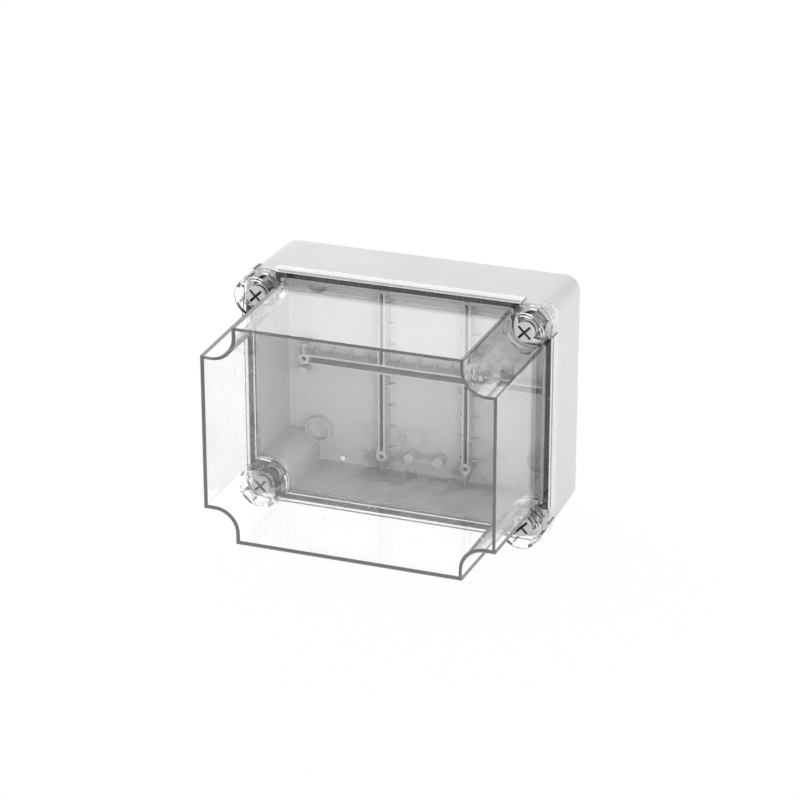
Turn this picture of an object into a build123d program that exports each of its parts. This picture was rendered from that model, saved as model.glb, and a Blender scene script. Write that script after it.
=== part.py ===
from build123d import *
from math import atan2, copysign, degrees
import os

# Surface-mounting electrical box with a deep clear lid.
# X is the width, Z is up, and the lid faces -Y. The origin is the middle of
# the back face, the face that lies on the wall. All sizes are in millimetres.

# Base shell
mouth_width = 190.0
mouth_height = 145.0
wall = 3.0
back_wall = 3.0
base_depth = 58.0
corner_radius = 10.5
screw_inset = 12.5
draft = 1.28
back_edge_radius = 1.6

# Corner columns of the base, around the screws
column_radius = 11.0
seal_wall = 3.0
boss_radius = 5.8
corner_pocket_depth = 18.0
screw_bore_depth = 22.0

# Rails and bosses that stand on the inside of the back wall
rail_height = 9.0
rail_thickness = 1.2
upright_x = 28.0
upright_gap = 2.4
cross_gap = 4.0
rail_boss_radius = 3.6
pilot_radius = 1.45
pilot_depth = 8.0
upright_boss_z = 59.3
cross_boss_x = 80.0
boss_fin = 5.6
gusset_length = 4.5
gusset_height = 6.5
gusset_thickness = 0.9
gusset_pitch_z = 14.3
gusset_first_z = 12.2
gussets_up = 4
gussets_across = 7
pad_radius = 3.3
pad_x = 9.6
pad_z = -58.1
side_pad_x = -81.3
side_pad_z = -9.1

# Fixing knock-outs in the back wall
knockout_x = 72.5
knockout_z = 49.3
knockout_ring_radius = 8.6
knockout_ring_wall = 1.3
knockout_ring_height = 5.5
slot_length = 8.6
slot_width = 4.2
slot_recess = 0.5
membrane = 0.8

# Bare moulded plate outline on the back wall
plate_width = 29.2
plate_height = 14.4
plate_x = -1.0
plate_z = -26.0
plate_recess = 0.3
plate_radius = 2.0

# Gasket
gasket_width = 2.8
gasket_height = 2.7
gasket_inset = 0.1
lid_gap = 0.3

# Lid
total_depth = 143.0
lid_wall = 2.2
lid_front = 2.5
lid_step = 1.5
lid_draft = 0.86
lid_front_edge = 0.8
flange = 2.0
skirt_wall = 1.2
skirt_length = 9.0
skirt_clearance = 0.35
skirt_slot_start_x = 79.5
skirt_slot_end_x = 91.5
skirt_slot_start_z = 57.0
skirt_slot_end_z = 63.5
lip_wall = 1.8
lip_length = 4.0
lip_clearance = 0.35
gate_radius = 1.9
gate_height = 0.4
gate_x = -2.0
gate_z = -2.3

# Screw towers of the lid
tower_wall = 1.8
tower_overlap = 0.35
tower_height = 13.5
tower_floor = 2.0
tower_floor_height = 8.0
window_width = 10.0
window_reach = 9.0
window_rim = 1.5

# Screws
head_radius = 6.0
head_height = 3.0
head_edge = 0.4
recess_span = 10.6
recess_width = 1.6
recess_depth = 2.7
shank_radius = 4.4
shank_clearance = 0.4
collar_radius = 5.8
collar_height = 1.5
collar_float = 1.5
tip_radius = 3.4
tip_clearance = 0.5
tip_length = 18.0
tip_chamfer = 0.8

# Places that follow from the sizes above
rim_width = mouth_width + 2 * wall
rim_height = mouth_height + 2 * wall
screw_x = rim_width / 2 - screw_inset
screw_z = rim_height / 2 - screw_inset
corners = [(sx * screw_x, sz * screw_z) for sx in (-1, 1) for sz in (-1, 1)]
flange_back = base_depth + gasket_height + lid_gap
flange_front = flange_back + flange
rail_front = back_wall + rail_height
pocket_radius = column_radius - seal_wall
tower_radius = column_radius + lid_step + tower_overlap
skirt_offset = skirt_clearance + skirt_wall
far = 2 * mouth_width

os.makedirs("parts", exist_ok=True)


def depth(distance):
    """Plane at a distance in front of the wall face, looking out of the box."""
    return Plane(origin=(0, -distance, 0), x_dir=(1, 0, 0), z_dir=(0, -1, 0))


def depth_back(distance):
    """The same plane looking towards the wall, for features drawn to the back."""
    return Plane(origin=(0, -distance, 0), x_dir=(1, 0, 0), z_dir=(0, 1, 0))


def seal_outline(inset):
    """Face inside the seal line: a rectangle whose corners step in round the screws."""
    half_width = mouth_width / 2 - inset
    half_height = mouth_height / 2 - inset
    round_screw = column_radius + inset
    step_x = screw_x - round_screw
    step_z = screw_z - round_screw
    with BuildSketch() as outline:
        with BuildLine():
            FilletPolyline(
                (0, half_height),
                (step_x, half_height),
                (step_x, step_z),
                (half_width, step_z),
                (half_width, 0),
                radius=[0, round_screw, 0],
            )
            mirror(about=Plane.YZ)
            mirror(about=Plane.XZ)
        make_face()
    return outline.sketch_local


def rim_outline(offset_out):
    """Outer outline of the rim, moved out by a distance."""
    with BuildSketch() as outline:
        RectangleRounded(
            rim_width + 2 * offset_out,
            rim_height + 2 * offset_out,
            corner_radius + offset_out,
        )
    return outline.sketch_local


def across(place):
    """Direction, in degrees, square to the line from the middle of the box to a place."""
    return degrees(atan2(place[1], place[0])) + 90


# Base: a drafted tray with a solid column in each corner
with BuildPart() as base:
    with BuildSketch(depth_back(base_depth)):
        add(rim_outline(0))
    extrude(amount=base_depth, taper=draft)
    fillet(base.faces().sort_by(Axis.Y)[-1].edges(), radius=back_edge_radius)
    with BuildSketch(depth_back(base_depth)):
        add(seal_outline(0))
    extrude(amount=base_depth - back_wall, taper=draft, mode=Mode.SUBTRACT)

    # A ring cored out of each column leaves the boss that takes the screw
    with BuildSketch(depth_back(base_depth)):
        with Locations(*corners):
            Circle(pocket_radius)
            Circle(boss_radius, mode=Mode.SUBTRACT)
    extrude(amount=corner_pocket_depth, mode=Mode.SUBTRACT)
    with Locations(depth(base_depth)):
        with Locations(*corners):
            Hole(radius=tip_radius + tip_clearance, depth=screw_bore_depth)

    # Pairs of rails: one pair across, two pairs upright that stop at it
    cross_pitch = cross_gap + rail_thickness
    cross_edge = cross_gap / 2 + rail_thickness
    upright_pitch = upright_gap + rail_thickness
    with BuildSketch(depth(back_wall)):
        with GridLocations(0, cross_pitch, 1, 2):
            Rectangle(2 * cross_boss_x, rail_thickness)
        with GridLocations(2 * upright_x, upright_boss_z + cross_edge, 2, 2):
            with GridLocations(upright_pitch, 0, 2, 1):
                Rectangle(rail_thickness, upright_boss_z - cross_edge)
        with GridLocations(2 * upright_x, 2 * upright_boss_z, 2, 2):
            Circle(rail_boss_radius)
        with GridLocations(2 * cross_boss_x, 0, 2, 1):
            Circle(rail_boss_radius)
    extrude(amount=rail_height)

    # Short fins beyond the bosses, with a cross piece on the two at the sides
    with BuildSketch(depth(back_wall)):
        with GridLocations(2 * upright_x, 2 * (upright_boss_z + boss_fin), 2, 2):
            Rectangle(rail_thickness, 2 * (boss_fin - rail_thickness))
        with Locations((0, rail_boss_radius + boss_fin / 2)):
            with GridLocations(2 * cross_boss_x, 0, 2, 1):
                Rectangle(rail_thickness, boss_fin + rail_thickness)
        with Locations((0, rail_boss_radius + boss_fin)):
            with GridLocations(2 * cross_boss_x, 0, 2, 1):
                Rectangle(4 * rail_thickness, rail_thickness)
    extrude(amount=rail_height)

    # Solid pads: a linked pair below the plate and one under the left boss
    with BuildSketch(depth(back_wall)):
        with Locations((-pad_x, pad_z), (pad_x, pad_z), (side_pad_x, side_pad_z)):
            Circle(pad_radius)
        with Locations((0, pad_z)):
            Rectangle(2 * pad_x, rail_thickness)
    extrude(amount=rail_height)

    # Pilot holes for the screws of a rail or a mounting plate
    with Locations(depth(rail_front)):
        with GridLocations(2 * upright_x, 2 * upright_boss_z, 2, 2):
            Hole(radius=pilot_radius, depth=pilot_depth)
        with GridLocations(2 * cross_boss_x, 0, 2, 1):
            Hole(radius=pilot_radius, depth=pilot_depth)

    # Triangular gussets at the foot of the rails
    upright_edge = upright_gap / 2 + rail_thickness
    upright_levels = [
        side * (gusset_first_z + step * gusset_pitch_z)
        for side in (-1, 1)
        for step in range(gussets_up)
    ]
    for level in upright_levels:
        with BuildSketch(Plane.XY.offset(level)):
            with Locations((-upright_x, -back_wall), (upright_x, -back_wall)):
                Polygon(
                    (-upright_edge - gusset_length, 0),
                    (-upright_edge, -gusset_height),
                    (upright_edge, -gusset_height),
                    (upright_edge + gusset_length, 0),
                )
                Rectangle(upright_gap, 3 * gusset_height, mode=Mode.SUBTRACT)
        extrude(amount=gusset_thickness / 2, both=True)
    gusset_pitch_x = upright_x / 2.5
    for step in range(gussets_across):
        station = (step + 0.5) * gusset_pitch_x
        if step == 2:
            continue
        for side in (-1, 1):
            with BuildSketch(Plane.YZ.offset(side * station)):
                Polygon(
                    (-back_wall, -cross_edge - gusset_length),
                    (-back_wall - gusset_height, -cross_edge),
                    (-back_wall - gusset_height, cross_edge),
                    (-back_wall, cross_edge + gusset_length),
                )
                Rectangle(far, cross_gap, mode=Mode.SUBTRACT)
            extrude(amount=gusset_thickness / 2, both=True)

    # Knock-outs: a ring inside, a shallow slot in it and a deeper slot behind
    knockouts = [(sx * knockout_x, sz * knockout_z) for sx in (-1, 1) for sz in (-1, 1)]
    with BuildSketch(depth(back_wall)):
        with Locations(*knockouts):
            Circle(knockout_ring_radius)
            Circle(knockout_ring_radius - knockout_ring_wall, mode=Mode.SUBTRACT)
    extrude(amount=knockout_ring_height)
    with BuildSketch(depth(back_wall)):
        for place in knockouts:
            with Locations(place):
                SlotOverall(slot_length, slot_width, rotation=across(place))
    extrude(amount=-slot_recess, mode=Mode.SUBTRACT)
    with BuildSketch(depth(0)):
        for place in knockouts:
            with Locations(place):
                SlotOverall(slot_length, slot_width, rotation=across(place))
    extrude(amount=back_wall - slot_recess - membrane, mode=Mode.SUBTRACT)

    # Bare sunken plate where such boxes carry their moulded data
    with BuildSketch(depth(back_wall)):
        with Locations((plate_x, plate_z)):
            RectangleRounded(plate_width, plate_height, plate_radius)
    extrude(amount=-plate_recess, mode=Mode.SUBTRACT)

base.part.label = "base"
export_step(base.part, "parts/base.step")

# Gasket: a strip that follows the seal line and passes inside the screws
with BuildPart() as gasket:
    with BuildSketch(depth(base_depth)):
        add(seal_outline(-gasket_inset - gasket_width))
        add(seal_outline(-gasket_inset), mode=Mode.SUBTRACT)
    extrude(amount=gasket_height)

gasket.part.label = "gasket"
export_step(gasket.part, "parts/gasket.step")

# Lid: a deep drafted cover, its flange, skirt, locating lip and screw towers
lid_height = total_depth - flange_front
with BuildPart() as lid:
    with BuildSketch(depth(flange_front)):
        add(seal_outline(lid_step))
    extrude(amount=lid_height, taper=lid_draft)
    chamfer(lid.faces().sort_by(Axis.Y)[0].edges(), length=lid_front_edge)

    # Flange over the rim and the ends of the seal line
    with BuildSketch(depth(flange_back)):
        add(rim_outline(skirt_offset))
    extrude(amount=flange)

    # Towers round the screws: a block under the head and a cup wall round it
    with BuildSketch(depth(flange_back)):
        with Locations(*corners):
            Circle(tower_radius)
    extrude(amount=flange + tower_floor_height)
    with BuildSketch(depth(flange_back)):
        with Locations(*corners):
            Circle(tower_radius)
            Circle(tower_radius - tower_wall, mode=Mode.SUBTRACT)
        Rectangle(2 * (screw_x - tower_wall), 2 * (screw_z - tower_wall), mode=Mode.SUBTRACT)
    extrude(amount=flange + tower_height)

    # Inside of the lid
    with BuildSketch(depth(flange_back)):
        add(seal_outline(lid_step + lid_wall))
    extrude(amount=total_depth - lid_front - flange_back, taper=lid_draft, mode=Mode.SUBTRACT)

    # Room under the tower floors, outside the seal line, and the screw holes
    with BuildSketch(depth(flange_back)):
        with Locations(*corners):
            Circle(tower_radius - tower_wall)
        add(seal_outline(-seal_wall), mode=Mode.SUBTRACT)
    extrude(amount=flange + tower_floor_height - tower_floor, mode=Mode.SUBTRACT)
    with Locations(depth(flange_front + tower_floor_height)):
        with Locations(*corners):
            Hole(radius=shank_radius + shank_clearance, depth=tower_floor)

    # Skirt outside the rim
    with BuildSketch(depth_back(flange_back)):
        add(rim_outline(skirt_offset))
        add(rim_outline(skirt_clearance), mode=Mode.SUBTRACT)
    extrude(amount=skirt_length)

    # The skirt is left out beside each tower, on both sides of the corner
    slot_x = (skirt_slot_start_x + skirt_slot_end_x) / 2
    slot_z = (skirt_slot_start_z + skirt_slot_end_z) / 2
    with BuildSketch(depth(flange_back - skirt_length)):
        with GridLocations(2 * slot_x, rim_height + 2 * skirt_offset, 2, 2):
            Rectangle(skirt_slot_end_x - skirt_slot_start_x, 2 * skirt_wall + skirt_clearance)
        with GridLocations(rim_width + 2 * skirt_offset, 2 * slot_z, 2, 2):
            Rectangle(2 * skirt_wall + skirt_clearance, skirt_slot_end_z - skirt_slot_start_z)
    extrude(amount=skirt_length + flange, mode=Mode.SUBTRACT)

    # Windows through each tower wall, above the screw and beside it
    window_length = 2 * (tower_radius - window_reach)
    with BuildSketch(depth(flange_front)):
        for side_x, side_z in corners:
            with Locations((side_x, side_z + copysign(tower_radius, side_z))):
                Rectangle(window_width, window_length)
            with Locations((side_x + copysign(tower_radius, side_x), side_z)):
                Rectangle(window_length, window_width)
    extrude(amount=tower_height - window_rim, mode=Mode.SUBTRACT)

    # Locating lip that reaches into the mouth of the base
    with BuildSketch(depth_back(flange_front)):
        add(seal_outline(lip_clearance))
        add(seal_outline(lip_clearance + lip_wall), mode=Mode.SUBTRACT)
    extrude(amount=flange_front - base_depth + lip_length)

    # Round mark of the moulding gate on the front
    with BuildSketch(depth(total_depth)):
        with Locations((gate_x, gate_z)):
            Circle(gate_radius)
    extrude(amount=gate_height)

lid.part.label = "lid"
export_step(lid.part, "parts/lid.step")

# Four captive corner screws with a cross recess
floor_face = flange_front + tower_floor_height
head_back = floor_face + lid_gap
screw_names = {
    (-1, 1): "screw_top_left",
    (1, 1): "screw_top_right",
    (-1, -1): "screw_bottom_left",
    (1, -1): "screw_bottom_right",
}
for (side_x, side_z), screw_name in screw_names.items():
    place = (side_x * screw_x, side_z * screw_z)
    collar_front = floor_face - tower_floor - collar_float
    shank_end = base_depth + lid_gap
    with BuildPart() as screw:
        with BuildSketch(depth(head_back)):
            with Locations(place):
                Circle(head_radius)
        extrude(amount=head_height)
        chamfer(screw.faces().sort_by(Axis.Y)[0].edges(), length=head_edge)
        with BuildSketch(depth(shank_end)):
            with Locations(place):
                Circle(shank_radius)
        extrude(amount=head_back - shank_end)
        with BuildSketch(depth(collar_front - collar_height)):
            with Locations(place):
                Circle(collar_radius)
        extrude(amount=collar_height)
        with BuildSketch(depth(shank_end - tip_length)):
            with Locations(place):
                Circle(tip_radius)
        extrude(amount=tip_length)
        chamfer(screw.faces().sort_by(Axis.Y)[-1].edges(), length=tip_chamfer)
        with BuildSketch(depth(head_back + head_height)):
            with Locations(place):
                Rectangle(recess_span, recess_width, rotation=45)
                Rectangle(recess_span, recess_width, rotation=-45)
        extrude(amount=-recess_depth, mode=Mode.SUBTRACT)
    screw.part.label = screw_name
    export_step(screw.part, "parts/" + screw_name + ".step")
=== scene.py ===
import math

import bmesh
import bpy
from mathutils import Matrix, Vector


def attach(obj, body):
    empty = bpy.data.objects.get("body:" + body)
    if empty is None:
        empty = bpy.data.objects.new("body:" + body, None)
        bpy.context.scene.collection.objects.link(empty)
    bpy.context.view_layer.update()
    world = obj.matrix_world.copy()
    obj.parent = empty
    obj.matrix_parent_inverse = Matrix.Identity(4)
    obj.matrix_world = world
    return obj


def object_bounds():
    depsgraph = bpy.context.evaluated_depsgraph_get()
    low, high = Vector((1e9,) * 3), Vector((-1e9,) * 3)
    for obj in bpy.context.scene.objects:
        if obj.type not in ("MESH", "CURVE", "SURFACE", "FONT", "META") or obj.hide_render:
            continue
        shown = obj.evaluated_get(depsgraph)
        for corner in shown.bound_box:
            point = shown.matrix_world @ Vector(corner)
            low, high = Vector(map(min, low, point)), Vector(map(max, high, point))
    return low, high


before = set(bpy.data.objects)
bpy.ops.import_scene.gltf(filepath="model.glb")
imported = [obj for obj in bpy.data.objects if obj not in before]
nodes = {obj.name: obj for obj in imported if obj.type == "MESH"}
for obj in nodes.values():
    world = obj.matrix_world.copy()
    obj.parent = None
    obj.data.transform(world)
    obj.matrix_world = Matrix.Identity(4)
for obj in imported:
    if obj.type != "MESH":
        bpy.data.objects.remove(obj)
cad_low, cad_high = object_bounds()
MM = 0.001

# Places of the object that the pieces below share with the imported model
SCREW_X = 85.5 * MM
SCREW_Z = 63.0 * MM
SCREWS = {
    "screw_top_left": (-SCREW_X, SCREW_Z),
    "screw_top_right": (SCREW_X, SCREW_Z),
    "screw_bottom_left": (-SCREW_X, -SCREW_Z),
    "screw_bottom_right": (SCREW_X, -SCREW_Z),
}
HEAD_FACE = -74.3 * MM
RECESS_REACH = 5.4 * MM
RECESS_SHADE = (HEAD_FACE + 0.4 * MM, HEAD_FACE + 1.4 * MM)

# Inside of the tray, where dust has settled and painted shade darkens it low down, in the
# middle and at the back, and how both thin out
TRAY_BOTTOM = -73.5 * MM
TRAY_BACK = -2.2 * MM
TRAY_SIDE = 95.5 * MM
DUST_AND_SHADE_HEIGHTS = (-36.0 * MM, -64.0 * MM)
DUST_AND_SHADE_SPREAD = (30.0 * MM, 75.0 * MM)
DUST_AND_SHADE_DEPTHS = (-30.0 * MM, -8.0 * MM)

# Clear plastic. A long path is one bent or mirrored three times or more; it ends in a
# painted grey glow
PLASTIC_IOR = 1.49
CLEAR_TINT = (0.997, 0.998, 0.999)
LAMP_LIGHT_THROUGH = (0.96, 0.965, 0.97)
LONG_PATH = 2.5
LONG_PATH_PAINTED_GLOW = (0.15, 0.15, 0.16)
# The lid's edges: mostly a painted grey and smoky mix that stands in for the shade of bent
# light
EDGE_SMOKE = (0.42, 0.42, 0.43)
EDGE_PAINTED_SHARE = 0.8

# Rounding of sharp edges
BASE_EDGE = 0.25 * MM
SEAL_EDGE = 0.3 * MM
LID_EDGE = 0.42 * MM
SCREW_EDGE = 0.15 * MM
FLAT_ANGLE = math.radians(1.0)
SHARP_ANGLE = math.radians(35)

# Threads on the screw tips
THREAD_PITCH = 2.6 * MM
THREAD_TURNS = 4.5
THREAD_STEPS = 28
THREAD_RUN_OUT = 14
THREAD_ROOT = 3.2 * MM
THREAD_CREST = 3.8 * MM
THREAD_START = -42.5 * MM
THREAD_FOOT = 0.36
THREAD_FLAT = 0.06

# The gate mark in the middle of the lid's front
GATE = (-2.0 * MM, -143.39 * MM, -2.3 * MM)
GATE_RADIUS = 1.5 * MM
GATE_RISE = 0.35 * MM
GATE_LEVELS = 5
GATE_STEPS = 24
GATE_WOBBLE = 0.04

# Floor. It glows for the camera and clear parts, and further out for every ray
FLOOR_HALF = 20.0
FLOOR_GAP = 0.1 * MM
BACKDROP_SHARE = 0.975
GLOW_SHARE = 0.95
FRONT_GLOW = (-0.22, -0.45)
RIGHT_GLOW = (0.11, 0.20)
THROUGH_CLEAR_GAIN = 1.16
FRONT_MIRROR_GAIN = 0.35

# Lamps: place, width, height and power
LAMP_TARGET = (0, -0.05, 0)
LAMPS = {
    "lamp_top": ((-1.2, 0.5, 1.2), 1.4, 1.0, 9.0),
    "lamp_back": ((-0.8, 2.2, 0.95), 2.4, 1.4, 10.5),
    "lamp_right": ((1.6, 0.2, 0.15), 1.4, 0.35, 4.0),
    "lamp_front": ((0.95, -1.7, 0.3), 1.2, 0.8, 7.5),
}

# Room: its light from the front and from behind, and the directions in Y between which
# it goes from one to the other
ROOM_TURN = (-0.5, 0.6)
ROOM_FRONT = 0.8
ROOM_BACK = 0.68
LIGHT_BOUNCES = 32

# Camera, solved from the photograph's right angles
CAMERA_PLACE = (0.60970, -1.67538, 0.72729)
CAMERA_TURN = (67.218, 0.0546, 20.5817)
CAMERA_LENS = 138.866


# Materials


def new_material(name):
    """An empty node material: its tree, its Principled shader and its output."""
    material = bpy.data.materials.new(name)
    material.use_nodes = True
    tree = material.node_tree
    tree.nodes.clear()
    output = tree.nodes.new("ShaderNodeOutputMaterial")
    shader = tree.nodes.new("ShaderNodeBsdfPrincipled")
    tree.links.new(shader.outputs[0], output.inputs[0])
    return material, tree, shader, output


def noise(tree, scale, detail=3.0, roughness=0.5):
    """A noise texture in the object's own metres."""
    place = tree.nodes.new("ShaderNodeTexCoord")
    texture = tree.nodes.new("ShaderNodeTexNoise")
    texture.inputs["Scale"].default_value = scale
    texture.inputs["Detail"].default_value = detail
    texture.inputs["Roughness"].default_value = roughness
    tree.links.new(place.outputs["Object"], texture.inputs["Vector"])
    return texture.outputs["Fac"]


def ramp(tree, value, low, high, first, last):
    """Maps a value between low and high to one between first and last."""
    node = tree.nodes.new("ShaderNodeMapRange")
    node.inputs["From Min"].default_value = low
    node.inputs["From Max"].default_value = high
    node.inputs["To Min"].default_value = first
    node.inputs["To Max"].default_value = last
    tree.links.new(value, node.inputs["Value"])
    return node.outputs["Result"]


def clouds(tree, scale, detail, first=0.0, last=1.0):
    """Noise whose middle part is spread over a range of values."""
    return ramp(tree, noise(tree, scale, detail), 0.3, 0.7, first, last)


def calc(tree, operation, *values):
    """One Math node. Each value is from a node or a number."""
    node = tree.nodes.new("ShaderNodeMath")
    node.operation = operation
    for socket, value in zip(node.inputs, values):
        if isinstance(value, (int, float)):
            socket.default_value = value
        else:
            tree.links.new(value, socket)
    return node.outputs[0]


def colour_mix(tree, factor, first, second):
    """A colour between two, each from a node or written, by a factor from nodes."""
    node = tree.nodes.new("ShaderNodeMix")
    node.data_type = "RGBA"
    tree.links.new(factor, node.inputs[0])
    for socket, colour in ((node.inputs[6], first), (node.inputs[7], second)):
        if isinstance(colour, tuple):
            socket.default_value = (*colour, 1)
        else:
            tree.links.new(colour, socket)
    return node.outputs[2]


def shader_mix(tree, factor, first, second):
    """A mix of two shaders, by a factor from a node or a number."""
    node = tree.nodes.new("ShaderNodeMixShader")
    if isinstance(factor, float):
        node.inputs[0].default_value = factor
    else:
        tree.links.new(factor, node.inputs[0])
    tree.links.new(first, node.inputs[1])
    tree.links.new(second, node.inputs[2])
    return node.outputs[0]


def plain_shader(tree, kind, colour):
    """A shader of one written colour."""
    node = tree.nodes.new(kind)
    node.inputs["Color"].default_value = (*colour, 1)
    return node


def bump(tree, height, shader, strength, distance):
    """Drives a shader's normal by a height."""
    node = tree.nodes.new("ShaderNodeBump")
    node.inputs["Strength"].default_value = strength
    node.inputs["Distance"].default_value = distance
    tree.links.new(height, node.inputs["Height"])
    tree.links.new(node.outputs["Normal"], shader.inputs["Normal"])


def split_axes(tree, output):
    """X, Y and Z of one of the texture coordinates."""
    place = tree.nodes.new("ShaderNodeTexCoord")
    split = tree.nodes.new("ShaderNodeSeparateXYZ")
    tree.links.new(place.outputs[output], split.inputs[0])
    return split.outputs["X"], split.outputs["Y"], split.outputs["Z"]


def dust_and_painted_shade(tree):
    """How dusty and how shaded a place is: smudges and specks of dust low down inside the
    tray, over a painted shade that grows darker lower down, nearer the middle and nearer
    the back.
    """
    across, deep, up = split_axes(tree, "Object")
    off_middle = calc(tree, "ABSOLUTE", across)
    low_down = ramp(tree, up, *DUST_AND_SHADE_HEIGHTS, 0.0, 1.0)
    middle = ramp(tree, off_middle, *DUST_AND_SHADE_SPREAD, 1.0, 0.25)
    inside = calc(tree, "GREATER_THAN", up, TRAY_BOTTOM)
    inside = calc(tree, "MULTIPLY", inside, calc(tree, "LESS_THAN", deep, TRAY_BACK))
    inside = calc(tree, "MULTIPLY", inside, calc(tree, "LESS_THAN", off_middle, TRAY_SIDE))
    smudge = ramp(tree, noise(tree, 42.0, 8.0, 0.65), 0.48, 0.57, 0.35, 1.0)
    speck = ramp(tree, noise(tree, 620.0, 2.0), 0.66, 0.70, 0.0, 1.0)
    # Painted shade: darker lower down, nearer the middle and nearer the back. The smudges
    # and specks on it are dust
    reach = calc(tree, "MULTIPLY", calc(tree, "MULTIPLY", low_down, inside), middle)
    at_back = calc(tree, "MULTIPLY", smudge, ramp(tree, deep, *DUST_AND_SHADE_DEPTHS, 0.4, 1.0))
    return calc(tree, "MULTIPLY", calc(tree, "MAXIMUM", at_back, speck), reach)


def cross_shade(tree):
    """One in each screw's cross recess, and on all else of it that lies as deep: the
    shank, tip and thread. Nought on the head."""
    across, deep, up = split_axes(tree, "Object")
    off_x = calc(tree, "SUBTRACT", calc(tree, "ABSOLUTE", across), SCREW_X)
    off_z = calc(tree, "SUBTRACT", calc(tree, "ABSOLUTE", up), SCREW_Z)
    square = calc(
        tree, "ADD", calc(tree, "POWER", off_x, 2.0), calc(tree, "POWER", off_z, 2.0)
    )
    near = calc(tree, "LESS_THAN", calc(tree, "SQRT", square), RECESS_REACH)
    return calc(tree, "MULTIPLY", near, ramp(tree, deep, *RECESS_SHADE, 0.0, 1.0))


def moulded_plastic(name, dark, light, roughness, grain, dust_and_shade, dust_and_shade_colour):
    """Satin moulded plastic: faint clouding, a fine spark-eroded grain, and a darker colour
    where a given function puts dust and painted shade.
    """
    material, tree, shader, output = new_material(name)
    clean = colour_mix(tree, clouds(tree, 18.0, 4.0), dark, light)
    tree.links.new(
        colour_mix(tree, dust_and_shade(tree), clean, dust_and_shade_colour), shader.inputs["Base Color"]
    )
    sheen = clouds(tree, 60.0, 3.0, roughness - 0.05, roughness + 0.06)
    tree.links.new(sheen, shader.inputs["Roughness"])
    bump(tree, noise(tree, grain, 2.0), shader, 0.12, 0.00006)
    shader.inputs["IOR"].default_value = PLASTIC_IOR
    return material


def rubber_material(name):
    """Dark closed-cell seal with a slightly pitted face."""
    material, tree, shader, output = new_material(name)
    tone = colour_mix(
        tree, clouds(tree, 120.0, 4.0), (0.010, 0.010, 0.012), (0.022, 0.022, 0.025)
    )
    tree.links.new(tone, shader.inputs["Base Color"])
    bump(tree, noise(tree, 2400.0, 2.0), shader, 0.4, 0.0001)
    shader.inputs["Roughness"].default_value = 0.8
    shader.inputs["Specular IOR Level"].default_value = 0.05
    return material


def frosted_plastic(name):
    """Clear plastic with a torn, matt surface."""
    material, tree, shader, output = new_material(name)
    tone = colour_mix(
        tree, clouds(tree, 900.0, 3.0), (0.80, 0.80, 0.81), (0.93, 0.93, 0.94)
    )
    tree.links.new(tone, shader.inputs["Base Color"])
    shader.inputs["Roughness"].default_value = 0.55
    bump(tree, noise(tree, 2600.0, 3.0), shader, 0.4, 0.0001)
    return material


def make_clear(shader):
    """Sets a Principled shader to the lid's clear plastic."""
    shader.inputs["Base Color"].default_value = (*CLEAR_TINT, 1)
    shader.inputs["Transmission Weight"].default_value = 1.0
    shader.inputs["IOR"].default_value = PLASTIC_IOR


def clear_plastic(name):
    """Clear polished plastic. Lamps reach what is behind it."""
    material, tree, shader, output = new_material(name)
    make_clear(shader)
    gloss = ramp(tree, noise(tree, 35.0, 3.0), 0.35, 0.7, 0.0, 0.012)
    speck = ramp(tree, noise(tree, 520.0, 2.0), 0.69, 0.73, 0.0, 0.4)
    tree.links.new(calc(tree, "MAXIMUM", gloss, speck), shader.inputs["Roughness"])
    bump(tree, noise(tree, 16.0, 2.5), shader, 0.2, 0.0004)
    # Light that has run a long way inside a wall ends in a painted soft grey glow, not in
    # black
    path = tree.nodes.new("ShaderNodeLightPath")
    long_way = calc(tree, "GREATER_THAN", path.outputs["Glossy Depth"], LONG_PATH)
    painted_glow = plain_shader(tree, "ShaderNodeEmission", LONG_PATH_PAINTED_GLOW)
    body = shader_mix(tree, long_way, shader.outputs[0], painted_glow.outputs[0])
    let_through = plain_shader(tree, "ShaderNodeBsdfTransparent", LAMP_LIGHT_THROUGH)
    whole = shader_mix(tree, path.outputs["Is Shadow Ray"], body, let_through.outputs[0])
    tree.links.new(whole, output.inputs[0])
    return material


def painted_edge_plastic(name):
    """The lid's rounded edges: mostly half a grey sheen and half a smoky see-through, a
    painted shade in place of the light that the clear edges bend.
    """
    material, tree, shader, output = new_material(name)
    make_clear(shader)
    shader.inputs["Roughness"].default_value = 0.05
    tone = colour_mix(
        tree, clouds(tree, 90.0, 2.0), (0.30, 0.30, 0.31), (0.46, 0.46, 0.47)
    )
    sheen = tree.nodes.new("ShaderNodeBsdfDiffuse")
    tree.links.new(tone, sheen.inputs["Color"])
    smoke = plain_shader(tree, "ShaderNodeBsdfTransparent", EDGE_SMOKE)
    painted_edge_grey = shader_mix(tree, 0.5, sheen.outputs[0], smoke.outputs[0])
    whole = shader_mix(tree, EDGE_PAINTED_SHARE, shader.outputs[0], painted_edge_grey)
    tree.links.new(whole, output.inputs[0])
    return material


shell_grey = moulded_plastic(
    "shell_grey",
    dark=(0.63, 0.64, 0.645),
    light=(0.665, 0.67, 0.675),
    roughness=0.42,
    grain=1500.0,
    dust_and_shade=dust_and_painted_shade,
    dust_and_shade_colour=(0.34, 0.34, 0.35),
)
# The screws' near-black colour is painted shade in the cross recesses, and it also covers
# the shanks, tips and threads
screw_grey = moulded_plastic(
    "screw_grey",
    dark=(0.56, 0.57, 0.58),
    light=(0.60, 0.61, 0.62),
    roughness=0.38,
    grain=1800.0,
    dust_and_shade=cross_shade,
    dust_and_shade_colour=(0.02, 0.02, 0.022),
)
seal_dark = rubber_material("seal_dark")
clear_cover = clear_plastic("clear_cover")
painted_clear_edge = painted_edge_plastic("painted_clear_edge")
gate_frost = frosted_plastic("gate_frost")


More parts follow.
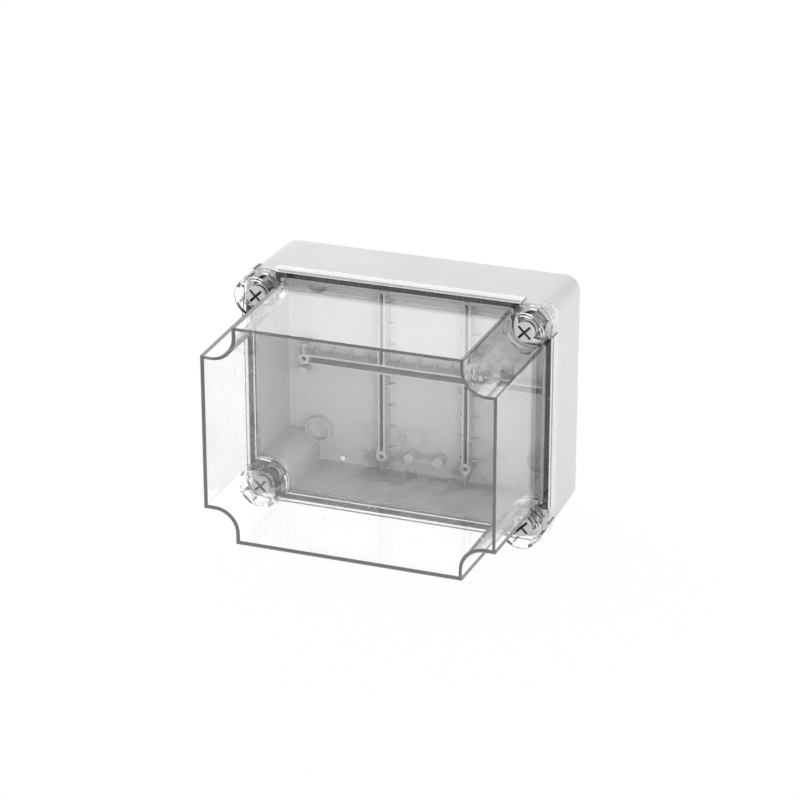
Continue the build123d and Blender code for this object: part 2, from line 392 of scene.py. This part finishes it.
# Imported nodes


def dress(node, material, edge, edge_material=None):
    """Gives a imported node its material, and rounds its sharp edges by a small radius."""
    node.data.materials.clear()
    node.data.materials.append(material)
    flat = node.modifiers.new("flat_faces", "DECIMATE")
    flat.decimate_type = "DISSOLVE"
    flat.angle_limit = FLAT_ANGLE
    rounding = node.modifiers.new("soft_edges", "BEVEL")
    rounding.width = edge
    rounding.segments = 2
    rounding.limit_method = "ANGLE"
    rounding.angle_limit = SHARP_ANGLE
    rounding.harden_normals = False
    rounding.use_clamp_overlap = True
    if edge_material:
        node.data.materials.append(edge_material)
        rounding.material = 1
    true_faces = node.modifiers.new("true_faces", "WEIGHTED_NORMAL")
    true_faces.mode = "FACE_AREA"
    true_faces.weight = 100
    for polygon in node.data.polygons:
        polygon.use_smooth = True


dress(nodes["base"], shell_grey, BASE_EDGE)
dress(nodes["gasket"], seal_dark, SEAL_EDGE)
dress(nodes["lid"], clear_cover, LID_EDGE, painted_clear_edge)
for screw_name in SCREWS:
    dress(nodes[screw_name], screw_grey, SCREW_EDGE)


# Added pieces


def new_piece(name, form, material):
    """Turns a bmesh into an object. Its faces of three or four corners are smooth."""
    bmesh.ops.recalc_face_normals(form, faces=form.faces)
    mesh = bpy.data.meshes.new(name)
    form.to_mesh(mesh)
    form.free()
    for polygon in mesh.polygons:
        polygon.use_smooth = len(polygon.vertices) < 5
    mesh.materials.append(material)
    piece = bpy.data.objects.new(name, mesh)
    bpy.context.scene.collection.objects.link(piece)
    return piece


def around(form, centre_x, centre_z, radius, turn, along):
    """A new corner at a radius and a turn round an axis along Y."""
    place = (centre_x + radius * math.cos(turn), along, centre_z + radius * math.sin(turn))
    return form.verts.new(place)


def screw_thread(name, centre_x, centre_z):
    """A helical ridge round a screw tip, which runs out to nothing at both ends."""
    form = bmesh.new()
    rings = []
    count = int(THREAD_TURNS * THREAD_STEPS)
    for step in range(count + 1):
        turn = 2 * math.pi * step / THREAD_STEPS
        run_out = min(1.0, step / THREAD_RUN_OUT, (count - step) / THREAD_RUN_OUT)
        crest = THREAD_ROOT + (THREAD_CREST - THREAD_ROOT) * max(run_out, 0.02)
        along = THREAD_START - THREAD_PITCH * step / THREAD_STEPS
        profile = (
            (THREAD_ROOT, -THREAD_FOOT),
            (crest, -THREAD_FLAT),
            (crest, THREAD_FLAT),
            (THREAD_ROOT, THREAD_FOOT),
        )
        rings.append(
            [
                around(form, centre_x, centre_z, radius, turn, along + shift * THREAD_PITCH)
                for radius, shift in profile
            ]
        )
    for first, second in zip(rings, rings[1:]):
        for corner in range(4):
            after = (corner + 1) % 4
            form.faces.new((first[corner], first[after], second[after], second[corner]))
    form.faces.new(rings[0][::-1])
    form.faces.new(rings[-1])
    return new_piece(name, form, screw_grey)


def gate_dome(name):
    """A small closed dome with its foot inside the lid's front."""
    form = bmesh.new()
    tip = form.verts.new(GATE)
    rings = []
    for level in range(1, GATE_LEVELS + 1):
        tilt = 0.5 * math.pi * level / GATE_LEVELS
        along = GATE[1] + GATE_RISE * (1 - math.cos(tilt))
        ring = []
        for step in range(GATE_STEPS):
            turn = 2 * math.pi * step / GATE_STEPS
            radius = GATE_RADIUS * math.sin(tilt) * (1 + GATE_WOBBLE * math.sin(3 * turn))
            ring.append(around(form, GATE[0], GATE[2], radius, turn, along))
        rings.append(ring)
    for step in range(GATE_STEPS):
        after = (step + 1) % GATE_STEPS
        form.faces.new((tip, rings[0][step], rings[0][after]))
        for inner, outer in zip(rings, rings[1:]):
            form.faces.new((inner[step], outer[step], outer[after], inner[after]))
    form.faces.new(rings[-1])
    return new_piece(name, form, gate_frost)


# The threads show once the lid is lifted
for screw_name, (centre_x, centre_z) in SCREWS.items():
    thread = screw_thread(screw_name + "_thread", centre_x, centre_z)
    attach(thread, screw_name)

gate_mark = gate_dome("gate_mark")
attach(gate_mark, "lid")


# Floor, lamps, room and camera


def floor_material():
    """Pale floor. The camera and clear or glossy parts see it as the white backdrop."""
    material, tree, shader, output = new_material("floor_white")
    shader.inputs["Base Color"].default_value = (0.9, 0.9, 0.9, 1)
    shader.inputs["Roughness"].default_value = 0.9
    path = tree.nodes.new("ShaderNodeLightPath")
    glossy = path.outputs["Is Glossy Ray"]
    transmitted = path.outputs["Is Transmission Ray"]
    seen = calc(tree, "MAXIMUM", path.outputs["Is Camera Ray"], glossy)
    seen = calc(tree, "MAXIMUM", seen, transmitted)
    backdrop = calc(tree, "MULTIPLY", seen, BACKDROP_SHARE)
    # Further out, in front and at the right, the floor also glows onto the object
    across, deep, up = split_axes(tree, "Object")
    front = ramp(tree, deep, *FRONT_GLOW, 0.0, GLOW_SHARE)
    right = ramp(tree, across, *RIGHT_GLOW, 0.0, GLOW_SHARE)
    share = calc(tree, "MAXIMUM", calc(tree, "MAXIMUM", backdrop, front), right)
    # Clear parts lose some light, so what they show of the backdrop is brighter, and
    # the floor in front, which the flat faces mirror, is dimmer. Light that is bent
    # counts as glossy too, so what is mirrored is glossy less transmitted
    through = ramp(tree, transmitted, 0.0, 1.0, 1.0, THROUGH_CLEAR_GAIN)
    mirrored = calc(tree, "MULTIPLY", calc(tree, "SUBTRACT", glossy, transmitted), front)
    dimmed = ramp(tree, mirrored, 0.0, GLOW_SHARE, 1.0, FRONT_MIRROR_GAIN)
    glow = plain_shader(tree, "ShaderNodeEmission", (1, 1, 1))
    tree.links.new(calc(tree, "MULTIPLY", through, dimmed), glow.inputs["Strength"])
    whole = shader_mix(tree, share, shader.outputs[0], glow.outputs[0])
    tree.links.new(whole, output.inputs[0])
    return material


floor_mesh = bpy.data.meshes.new("floor")
floor_mesh.from_pydata(
    [
        (-FLOOR_HALF, -FLOOR_HALF, 0),
        (FLOOR_HALF, -FLOOR_HALF, 0),
        (FLOOR_HALF, FLOOR_HALF, 0),
        (-FLOOR_HALF, FLOOR_HALF, 0),
    ],
    [],
    [(0, 1, 2, 3)],
)
floor = bpy.data.objects.new("floor", floor_mesh)
floor.location = (0, 0, cad_low.z - FLOOR_GAP)
floor_mesh.materials.append(floor_material())
bpy.context.scene.collection.objects.link(floor)


def softbox(name, place, width, height, power):
    """A large area lamp aimed at the object."""
    lamp = bpy.data.lights.new(name, "AREA")
    lamp.shape = "RECTANGLE"
    lamp.size = width
    lamp.size_y = height
    lamp.energy = power
    aim = Vector(LAMP_TARGET) - Vector(place)
    holder = bpy.data.objects.new(name, lamp)
    holder.location = place
    holder.rotation_mode = "QUATERNION"
    holder.rotation_quaternion = aim.to_track_quat("-Z", "Y")
    bpy.context.scene.collection.objects.link(holder)


for lamp_name, (place, width, height, power) in LAMPS.items():
    softbox(lamp_name, place, width, height, power)

# The room is a little brighter in front of the object than behind it, and plain
# white to the camera
world = bpy.data.worlds.new("room")
bpy.context.scene.world = world
world.use_nodes = True
tree = world.node_tree
tree.nodes.clear()
output = tree.nodes.new("ShaderNodeOutputWorld")
across, deep, up = split_axes(tree, "Generated")
dim = plain_shader(tree, "ShaderNodeBackground", (1, 1, 1))
tree.links.new(ramp(tree, deep, *ROOM_TURN, ROOM_FRONT, ROOM_BACK), dim.inputs["Strength"])
white = plain_shader(tree, "ShaderNodeBackground", (1, 1, 1))
white.inputs["Strength"].default_value = 1.0
path = tree.nodes.new("ShaderNodeLightPath")
whole = shader_mix(tree, path.outputs["Is Camera Ray"], dim.outputs[0], white.outputs[0])
tree.links.new(whole, output.inputs[0])

bpy.context.scene.view_settings.view_transform = "Standard"
bpy.context.scene.cycles.max_bounces = LIGHT_BOUNCES
bpy.context.scene.cycles.transmission_bounces = LIGHT_BOUNCES

camera = bpy.data.cameras.new("camera")
camera.sensor_width = 36.0
camera.lens = CAMERA_LENS
camera.clip_start = 0.05
camera.clip_end = 100.0
camera_holder = bpy.data.objects.new("camera", camera)
camera_holder.location = CAMERA_PLACE
camera_holder.rotation_euler = [math.radians(angle) for angle in CAMERA_TURN]
bpy.context.scene.collection.objects.link(camera_holder)
bpy.context.scene.camera = camera_holder
